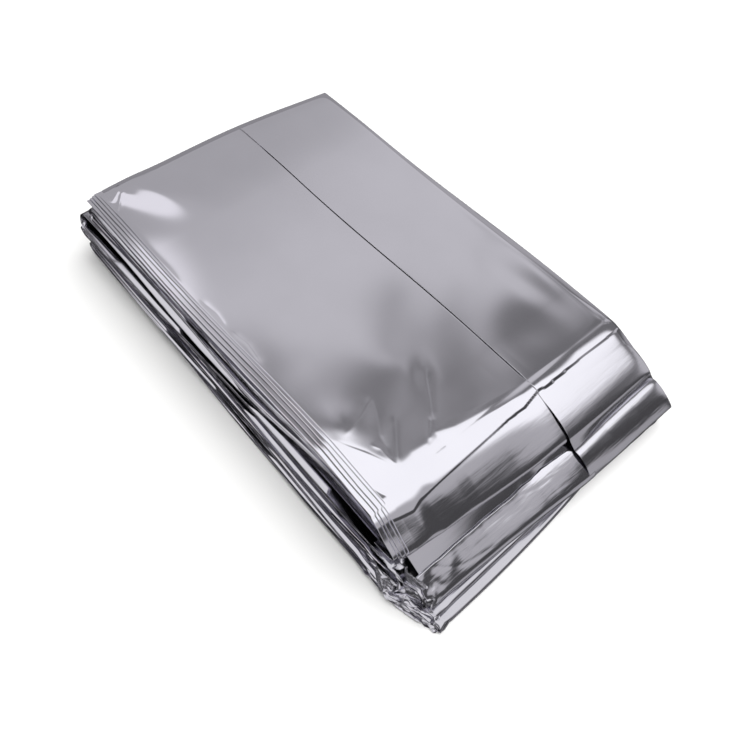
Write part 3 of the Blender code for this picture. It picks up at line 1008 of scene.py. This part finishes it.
class FOIL_OT_wide_leaf(bpy.types.Operator):
    """Lays the wide leaf on top"""

    bl_idname = "foil.wide_leaf"
    bl_label = "Wide leaf"

    def execute(self, context):
        wide_leaf(shared_foil())
        return {"FINISHED"}


class FOIL_OT_edge_leaves(bpy.types.Operator):
    """Lays the films that show past the wide leaf's near edge"""

    bl_idname = "foil.edge_leaves"
    bl_label = "Edge leaves"

    def execute(self, context):
        edge_leaves(shared_foil())
        return {"FINISHED"}


class FOIL_OT_front_leaves(bpy.types.Operator):
    """Hangs the film in the recess and lays the outer film over the lower bulge"""

    bl_idname = "foil.front_leaves"
    bl_label = "Front leaves"

    def execute(self, context):
        recess_leaf(shared_foil(SMOOTH_MATERIAL))
        lower_leaf(shared_foil())
        return {"FINISHED"}


class FOIL_OT_corner_films(bpy.types.Operator):
    """Lays crumpled films over the near front corner"""

    bl_idname = "foil.corner_films"
    bl_label = "Corner films"

    def execute(self, context):
        corner_films(shared_foil())
        return {"FINISHED"}


class FOIL_OT_narrow_leaf(bpy.types.Operator):
    """Lays the narrow leaf beside the slit"""

    bl_idname = "foil.narrow_leaf"
    bl_label = "Narrow leaf"

    def execute(self, context):
        narrow_leaf(shared_foil())
        return {"FINISHED"}


def make_camera(scene):
    """The camera of the picture."""
    data = bpy.data.cameras.new("picture")
    data.sensor_width = SENSOR_WIDTH
    data.lens = FOCAL_PIXELS / PICTURE_SIDE * SENSOR_WIDTH
    data.clip_start = 0.01
    camera = bpy.data.objects.new("picture", data)
    matrix = Matrix.Identity(4)
    for row in range(3):
        matrix[row][0] = CAMERA_RIGHT[row]
        matrix[row][1] = CAMERA_UP[row]
        matrix[row][2] = CAMERA_BACK[row]
        matrix[row][3] = CAMERA_PLACE[row] * MM
    camera.matrix_world = matrix
    scene.collection.objects.link(camera)
    scene.camera = camera


FLOOR_RADIUS = 3.0
FLOOR_SIDES = 96


def make_floor(settings):
    """A wide round pale floor under the pack."""
    angle = np.linspace(0, 2 * np.pi, FLOOR_SIDES, endpoint=False)
    points = np.stack([np.cos(angle) * FLOOR_RADIUS, np.sin(angle) * FLOOR_RADIUS, 0 * angle - 0.0002], axis=-1)
    mesh = bpy.data.meshes.new("floor")
    mesh.from_pydata(points.tolist(), [], [list(range(FLOOR_SIDES))])
    material = bpy.data.materials.new("pale_floor")
    material.use_nodes = True
    shader = material.node_tree.nodes["Principled BSDF"]
    shader.inputs["Base Color"].default_value = (*settings.floor, 1)
    shader.inputs["Roughness"].default_value = 0.9
    shader.inputs["Specular IOR Level"].default_value = 0.1
    mesh.materials.append(material)
    floor = bpy.data.objects.new("floor", mesh)
    bpy.context.scene.collection.objects.link(floor)
    floor.visible_glossy = False


SOFTBOX_WAY = (0.45, -0.25, 0.86)
SOFTBOX_EDGE = (0.49, 0.55)
SECOND_BOX_WAY = (0.30, -0.45, 0.84)
SECOND_BOX_EDGE = (0.47, 0.54)
SOFTBOX_LOWEST = (0.58, 0.70)
SOFTBOX_FORWARD = (0.52, 0.66)
SOFTBOX_NEAREST = (-0.50, -0.15)
CEILING_GAP_WAY = (1.0, -0.45, 0.0)
CEILING_GAP_EDGE = (-0.61, -0.45)
CEILING_GAP_LIGHT = 0.16
CEILING_GAP_WAVE = 0.30
WALL_WAY = (-0.45, 0.75, 0.55)
WALL_EDGE = (0.42, 0.66)
WALL_LOWEST = (0.15, 0.42)
WALL_FADES = (0.50, 0.68)
FRONT_WAY = (0.50, 0.22, 0.79)
FRONT_EDGE = (0.86, 0.93)
FRONT_LIGHT = 0.44
SILL_WAY = (0.86, 0.42, -0.20)
SILL_EDGE = (0.955, 0.975)
SILL_LIGHT = 0.36
WINDOW_WAY = (-0.613, 0.2085, 0.762)
WINDOW_EDGE = (0.992, 0.9965)
WINDOW_LIGHT = 0.86
REAR_WAY = (0.75, -0.65, 0.10)
REAR_EDGE = (0.72, 0.88)
REAR_LIGHT = 0.60
FAR_WAY = (0.45, 0.85, 0.25)
FAR_EDGE = (0.93, 0.97)
FAR_LIGHT = 0.50
SIDE_WAY = (-0.36, -0.70, 0.55)
SIDE_EDGE = (0.62, 0.92)
SIDE_LIGHTS = (0.05, 0.80)
FLOOR_LIGHTS = (0.03, 0.40)
FLOOR_EDGE = (0.02, 0.10)
COOL_GREY = (1.0, 0.985, 1.005, 1)
PALE_BACKDROP = (0.97, 0.97, 0.97, 1)


def make_room(scene, settings):
    """The room that the film mirrors: a dark side, a grey wall, a dark gap in the ceiling and a big softbox."""
    scene.view_settings.view_transform = "Standard"
    world = bpy.data.worlds.new("room")
    scene.world = world
    world.use_nodes = True
    nodes, links = world.node_tree.nodes, world.node_tree.links
    background = nodes["Background"]
    place = nodes.new("ShaderNodeTexCoord")

    noise = nodes.new("ShaderNodeTexNoise")
    noise.inputs["Scale"].default_value = 10.0
    noise.inputs["Detail"].default_value = 2.0
    links.new(place.outputs["Generated"], noise.inputs["Vector"])

    def facing(way, edge, wave=0.0):
        dot = nodes.new("ShaderNodeVectorMath")
        dot.operation = "DOT_PRODUCT"
        length = float(np.linalg.norm(way))
        dot.inputs[1].default_value = [value / length for value in way]
        shift = nodes.new("ShaderNodeVectorMath")
        shift.operation = "MULTIPLY_ADD"
        shift.inputs[1].default_value = (wave, wave, wave)
        links.new(noise.outputs["Color"], shift.inputs[0])
        links.new(place.outputs["Generated"], shift.inputs[2])
        centre = nodes.new("ShaderNodeVectorMath")
        centre.operation = "SUBTRACT"
        centre.inputs[1].default_value = (wave / 2, wave / 2, wave / 2)
        links.new(shift.outputs["Vector"], centre.inputs[0])
        links.new(centre.outputs["Vector"], dot.inputs[0])
        soft = nodes.new("ShaderNodeMapRange")
        soft.interpolation_type = "SMOOTHSTEP"
        soft.inputs["From Min"].default_value = edge[0]
        soft.inputs["From Max"].default_value = edge[1]
        links.new(dot.outputs["Value"], soft.inputs["Value"])
        return soft.outputs["Result"]

    def both(first, second):
        node = nodes.new("ShaderNodeMath")
        node.operation = "MULTIPLY"
        links.new(first, node.inputs[0])
        links.new(second, node.inputs[1])
        return node.outputs["Value"]

    def blend(mask, first, second):
        mix = nodes.new("ShaderNodeMix")
        mix.data_type = "FLOAT"
        links.new(mask, mix.inputs["Factor"])
        for socket, value in ((mix.inputs["A"], first), (mix.inputs["B"], second)):
            if isinstance(value, float):
                socket.default_value = value
            else:
                links.new(value, socket)
        return mix.outputs["Result"]

    def turned_off(mask):
        return blend(mask, 1.0, 0.0)

    stripes = nodes.new("ShaderNodeTexNoise")
    stripes.inputs["Scale"].default_value = 9.0
    stripes.inputs["Detail"].default_value = 3.0
    links.new(place.outputs["Generated"], stripes.inputs["Vector"])
    patches = nodes.new("ShaderNodeMapRange")
    patches.interpolation_type = "SMOOTHSTEP"
    patches.inputs["From Min"].default_value = 0.50
    patches.inputs["From Max"].default_value = 0.62
    patches.inputs["To Min"].default_value = SIDE_LIGHTS[0]
    patches.inputs["To Max"].default_value = SIDE_LIGHTS[1]
    links.new(stripes.outputs["Fac"], patches.inputs["Value"])
    floor_patches = blend(patches.outputs["Result"], *FLOOR_LIGHTS)
    wall = blend(facing((-1, 0, 0), WALL_FADES), settings.wall, settings.wall * 0.72)
    wall_mask = both(facing(WALL_WAY, WALL_EDGE), facing((0, 0, 1), WALL_LOWEST))
    wall = blend(facing(CEILING_GAP_WAY, CEILING_GAP_EDGE, CEILING_GAP_WAVE), wall, CEILING_GAP_LIGHT)
    light = blend(wall_mask, settings.dark, wall)
    light = blend(facing((0, 0, -1), FLOOR_EDGE), light, floor_patches)
    light = blend(facing(REAR_WAY, REAR_EDGE), light, REAR_LIGHT)
    light = blend(facing(FAR_WAY, FAR_EDGE), light, FAR_LIGHT)
    light = blend(facing(WINDOW_WAY, WINDOW_EDGE), light, WINDOW_LIGHT)
    light = blend(facing(FRONT_WAY, FRONT_EDGE), light, FRONT_LIGHT)
    light = blend(facing(SILL_WAY, SILL_EDGE), light, SILL_LIGHT)
    light = blend(facing(SIDE_WAY, SIDE_EDGE), light, patches.outputs["Result"])
    first = both(facing(SOFTBOX_WAY, SOFTBOX_EDGE), facing((0, 1, 0), SOFTBOX_NEAREST))
    second = both(facing(SECOND_BOX_WAY, SECOND_BOX_EDGE), facing((0, 1, 0), SOFTBOX_NEAREST))
    box = turned_off(both(turned_off(first), turned_off(second)))
    box = both(box, both(facing((0, 0, 1), SOFTBOX_LOWEST), turned_off(facing((1, 0, 0), SOFTBOX_FORWARD))))
    light = blend(box, light, settings.softbox)
    cool = nodes.new("ShaderNodeMix")
    cool.data_type = "RGBA"
    cool.inputs[MIX_COLOUR_A].default_value = COOL_GREY
    cool.inputs[MIX_COLOUR_B].default_value = (1, 1, 1, 1)
    links.new(box, cool.inputs["Factor"])
    shade = nodes.new("ShaderNodeVectorMath")
    shade.operation = "MULTIPLY"
    links.new(cool.outputs[MIX_COLOUR_RESULT], shade.inputs[0])
    links.new(light, shade.inputs[1])
    links.new(shade.outputs["Vector"], background.inputs["Color"])
    seen = nodes.new("ShaderNodeBackground")
    seen.inputs["Color"].default_value = PALE_BACKDROP
    path = nodes.new("ShaderNodeLightPath")
    choose = nodes.new("ShaderNodeMixShader")
    links.new(path.outputs["Is Camera Ray"], choose.inputs["Fac"])
    links.new(background.outputs["Background"], choose.inputs[1])
    links.new(seen.outputs["Background"], choose.inputs[2])
    links.new(choose.outputs["Shader"], nodes["World Output"].inputs["Surface"])


LAMP_WAY = (0.16, 0.20, 0.78)
LAMP_SPREAD = 75.0


def make_lamp(settings):
    """A very soft lamp overhead for the floor, which the film doesn't mirror."""
    data = bpy.data.lights.new("lamp", "SUN")
    data.angle = np.radians(LAMP_SPREAD)
    data.energy = settings.lamp
    lamp = bpy.data.objects.new("lamp", data)
    lamp.location = LAMP_WAY
    lamp.rotation_euler = (-lamp.location).to_track_quat("-Z", "Y").to_euler()
    lamp.visible_glossy = False
    bpy.context.scene.collection.objects.link(lamp)


class FOIL_PT_panel(bpy.types.Panel):
    """Lists the blanket's pieces in the sidebar"""

    bl_idname = "FOIL_PT_panel"
    bl_label = "Foil blanket"
    bl_space_type = "VIEW_3D"
    bl_region_type = "UI"
    bl_category = "Foil blanket"

    def draw(self, context):
        for settings in (context.scene.foil_film, context.scene.foil_stage):
            for name in settings.__annotations__:
                self.layout.prop(settings, name)
        for step in STEPS:
            self.layout.operator(step.bl_idname)


STEPS = (FOIL_OT_stage, FOIL_OT_films, FOIL_OT_wide_leaf, FOIL_OT_narrow_leaf, FOIL_OT_edge_leaves,
         FOIL_OT_front_leaves, FOIL_OT_corner_films)
CLASSES = (FoilFilm, FoilStage) + STEPS + (FOIL_PT_panel,)


def register():
    for kind in CLASSES:
        bpy.utils.register_class(kind)
    bpy.types.Scene.foil_film = PointerProperty(type=FoilFilm)
    bpy.types.Scene.foil_stage = PointerProperty(type=FoilStage)


def unregister():
    del bpy.types.Scene.foil_stage
    del bpy.types.Scene.foil_film
    for kind in reversed(CLASSES):
        bpy.utils.unregister_class(kind)


def main():
    """Registers the add-on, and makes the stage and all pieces."""
    register()
    for step in STEPS:
        group, name = step.bl_idname.split(".")
        getattr(getattr(bpy.ops, group), name)()


if __name__ == "__main__":
    main()
